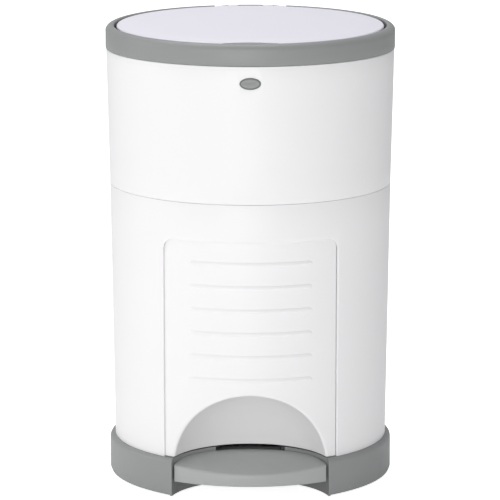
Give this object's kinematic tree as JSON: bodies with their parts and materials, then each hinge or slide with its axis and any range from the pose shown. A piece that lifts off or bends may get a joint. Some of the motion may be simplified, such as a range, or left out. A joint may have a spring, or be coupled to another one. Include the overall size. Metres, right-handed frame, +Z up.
{
  "type": "nappy bin",
  "caption": "Round pedal nappy bin: tapered two-part shell, skirted base, side-hinged front door with toe scoop, hinged collar with lid, hopper and twin trap flaps over a film refill.",
  "frame": {"origin": "on the floor under the centre of the round body", "axes": "+Z up, front with the pedal and door towards -Y, +X to the right seen from the front"},
  "size_m": [0.326, 0.326, 0.5202],
  "materials": {
    "white_shell": "smooth moulded ABS, satin gloss",
    "grey_trim": "fine-textured moulded plastic, mid grey",
    "lid_white": "smooth moulded ABS, gloss",
    "inner_white": "moulded polypropylene",
    "inner_grey": "moulded nylon",
    "bezel_grey": "moulded plastic, dark grey",
    "refill_blue": "moulded polypropylene, blue",
    "film": "pleated polyethylene film",
    "rubber": "soft rubber",
    "steel": "drawn steel wire and rod",
    "screw_steel": "zinc-plated steel"
  },
  "bodies": {
    "bin": {"base": "grey_trim", "base_feet": "rubber", "lower_shell": "white_shell", "upper_shell": "white_shell", "shelf_ring": "inner_white", "mech_cover": "inner_white", "rod_channel": "inner_white", "refill_tray": "refill_blue", "film_pack": "film", "cutter_body": "inner_grey", "cutter_blade": "steel", "hinge_bracket": "inner_grey", "collar_hinge_pin": "steel", "button_bezel": "bezel_grey", "pedal_axle": "steel", "shell_screws": "screw_steel", "shelf_screws": "screw_steel", "cover_screws": "screw_steel", "bracket_screws": "screw_steel"},
    "pedal": {"pedal_pad": "grey_trim", "pedal_lever": "inner_grey", "pedal_screws": "screw_steel"},
    "lift_rod": {"push_rod": "inner_grey", "trap_yoke": "inner_grey"},
    "front_door": {"door": "white_shell", "door_pins": "steel", "door_catch": "inner_white"},
    "button": {"button_cap": "grey_trim", "button_spring": "steel"},
    "collar": {"top_ring": "grey_trim", "hopper": "inner_white", "trap_frame": "inner_white", "trap_springs": "steel", "frame_screws": "screw_steel", "latch_tongue": "inner_grey", "lid_hinge_pin": "steel"},
    "lid": {"lid_cover": "lid_white", "lid_pan": "inner_white", "lid_arm": "inner_grey", "lid_seal": "rubber", "lid_screws": "screw_steel"},
    "trap_left": {"trap_flap_left": "inner_white", "trap_shaft_left": "steel", "trap_seal_left": "rubber"},
    "trap_right": {"trap_flap_right": "inner_white", "trap_shaft_right": "steel", "trap_seal_right": "rubber"}
  },
  "joints": [
    {"name": "lid_hinge", "type": "hinge", "parent": "collar", "child": "lid", "pos_m": [0, 0.15, 0.51299], "axis": [-1, 0, 0], "range_deg": [0, 75]},
    {"name": "collar_hinge", "type": "hinge", "parent": "bin", "child": "collar", "pos_m": [0, 0.157, 0.482], "axis": [-1, 0, 0], "range_deg": [0, 75], "deforming": ["latch_tongue"]},
    {"name": "door_hinge", "type": "hinge", "parent": "bin", "child": "front_door", "pos_m": [0.0915, -0.11987, 0.0452], "axis": [0, -0.0174, 0.9998], "range_deg": [0, 105], "deforming": ["door_catch"]},
    {"name": "button_press", "type": "slide", "parent": "bin", "child": "button", "axis": [0, 1, 0], "range_m": [0, 0.003], "stiffness_N_per_m": 400, "springref_m": -0.002, "deforming": ["button_spring"]},
    {"name": "pedal_press", "type": "hinge", "parent": "bin", "child": "pedal", "pos_m": [0, -0.015, 0.022], "axis": [1, 0, 0], "range_deg": [0, 6]},
    {"name": "rod_lift", "type": "slide", "parent": "bin", "child": "lift_rod", "axis": [0, 0, 1], "range_m": [0, 0.01599]},
    {"name": "trap_left_hinge", "type": "hinge", "parent": "collar", "child": "trap_left", "pos_m": [-0.06, 0, 0.402], "axis": [0, 1, 0], "range_deg": [0, 75]},
    {"name": "trap_right_hinge", "type": "hinge", "parent": "collar", "child": "trap_right", "pos_m": [0.06, 0, 0.402], "axis": [0, -1, 0], "range_deg": [0, 75]}
  ],
  "couplings": [
    {"joint": "pedal_press", "follows": "lid_hinge", "ratio": 0.08},
    {"joint": "rod_lift", "follows": "lid_hinge", "m_per_rad": 0.012218},
    {"joint": "trap_left_hinge", "follows": "lid_hinge", "ratio": 1},
    {"joint": "trap_right_hinge", "follows": "lid_hinge", "ratio": 1}
  ]
}
